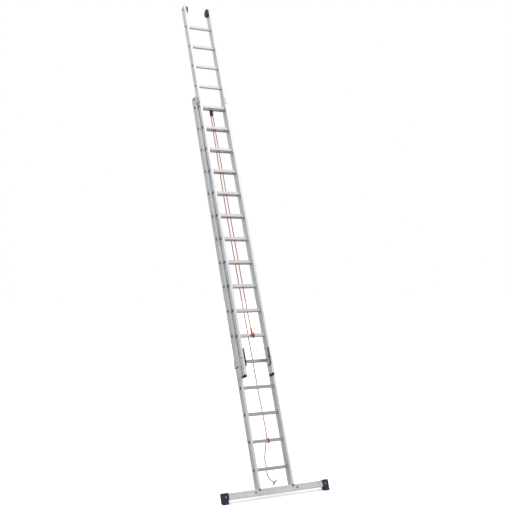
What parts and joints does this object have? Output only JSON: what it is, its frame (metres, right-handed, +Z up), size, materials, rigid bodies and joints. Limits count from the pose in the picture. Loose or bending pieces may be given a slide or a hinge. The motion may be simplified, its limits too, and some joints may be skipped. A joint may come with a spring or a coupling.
{
  "type": "extension ladder",
  "caption": "Rope-operated two-section aluminium extension ladder at its working lean, with a stabiliser bar, rung locks, guides, wall rollers and a pulley.",
  "frame": {"origin": "on the floor, midway between the soles of the two stabiliser feet", "axes": "+X to the right across the rungs as the climber faces the ladder, +Y horizontally towards the wall it leans on, +Z up"},
  "size_m": [1.218, 2.0374, 5.5573],
  "materials": {
    "aluminium": "extruded mill finish with fine lengthwise draw lines",
    "cast": "cast, lightly blasted",
    "steel": "dark zinc, semi-gloss",
    "navy_plastic": "moulded, fine grain",
    "black_plastic": "moulded, satin",
    "rope": "twisted polypropylene fibre"
  },
  "bodies": {
    "root": {"base_stile_left": "aluminium", "base_stile_right": "aluminium", "base_rung_01": "aluminium", "base_rung_02": "aluminium", "base_rung_03": "aluminium", "base_rung_04": "aluminium", "base_rung_05": "aluminium", "base_rung_06": "aluminium", "base_rung_07": "aluminium", "base_rung_08": "aluminium", "base_rung_09": "aluminium", "base_rung_10": "aluminium", "base_rung_11": "aluminium", "base_rung_12": "aluminium", "base_rung_13": "aluminium", "base_rung_14": "aluminium", "base_rung_15": "aluminium", "base_rung_16": "aluminium", "stabiliser_bar": "aluminium", "stabiliser_foot_left": "navy_plastic", "stabiliser_foot_right": "navy_plastic", "top_guide_left": "aluminium", "top_guide_right": "aluminium", "pulley_block": "black_plastic", "haul_rope": "rope", "free_rope": "rope", "free_rope_knot": "rope"},
    "fly": {"fly_stile_left": "aluminium", "fly_stile_right": "aluminium", "fly_rung_01": "aluminium", "fly_rung_02": "aluminium", "fly_rung_03": "aluminium", "fly_rung_04": "aluminium", "fly_rung_05": "aluminium", "fly_rung_06": "aluminium", "fly_rung_07": "aluminium", "fly_rung_08": "aluminium", "fly_rung_09": "aluminium", "fly_rung_10": "aluminium", "fly_rung_11": "aluminium", "fly_rung_12": "aluminium", "fly_rung_13": "aluminium", "fly_rung_14": "aluminium", "fly_rung_15": "aluminium", "fly_bottom_plug_left": "navy_plastic", "fly_bottom_plug_right": "navy_plastic", "fly_top_cap_left": "cast", "fly_top_cap_right": "cast", "lower_guide_left": "aluminium", "lower_guide_right": "aluminium", "roller_axle_left": "steel", "roller_axle_right": "steel", "lock_bracket_left": "cast", "lock_bracket_right": "cast", "haul_knot": "rope"},
    "sheave": {"pulley_sheave": "black_plastic"},
    "roller_left": {"wall_roller_left": "navy_plastic"},
    "lock_left": {"lock_hook_left": "cast"},
    "roller_right": {"wall_roller_right": "navy_plastic"},
    "lock_right": {"lock_hook_right": "cast"}
  },
  "joints": [
    {"name": "fly_slide", "type": "slide", "parent": "root", "child": "fly", "axis": [0, 0.342, 0.9397], "range_m": [-1.12, 2.24], "deforming": ["haul_rope"]},
    {"name": "sheave_spin", "type": "hinge", "parent": "root", "child": "sheave", "pos_m": [0.003, 1.52691, 4.14926], "axis": [1, 0, 0], "continuous": true},
    {"name": "roller_left_spin", "type": "hinge", "parent": "fly", "child": "roller_left", "pos_m": [-0.139, 1.95808, 5.50346], "axis": [1, 0, 0], "continuous": true},
    {"name": "lock_left_hinge", "type": "hinge", "parent": "fly", "child": "lock_left", "pos_m": [-0.1432, 0.42047, 1.3637], "axis": [1, 0, 0], "range_deg": [-70, 0]},
    {"name": "roller_right_spin", "type": "hinge", "parent": "fly", "child": "roller_right", "pos_m": [0.139, 1.95808, 5.50346], "axis": [1, 0, 0], "continuous": true},
    {"name": "lock_right_hinge", "type": "hinge", "parent": "fly", "child": "lock_right", "pos_m": [0.1432, 0.42047, 1.3637], "axis": [1, 0, 0], "range_deg": [-70, 0]}
  ],
  "couplings": [
    {"joint": "sheave_spin", "follows": "fly_slide", "rad_per_m": -41.667}
  ]
}
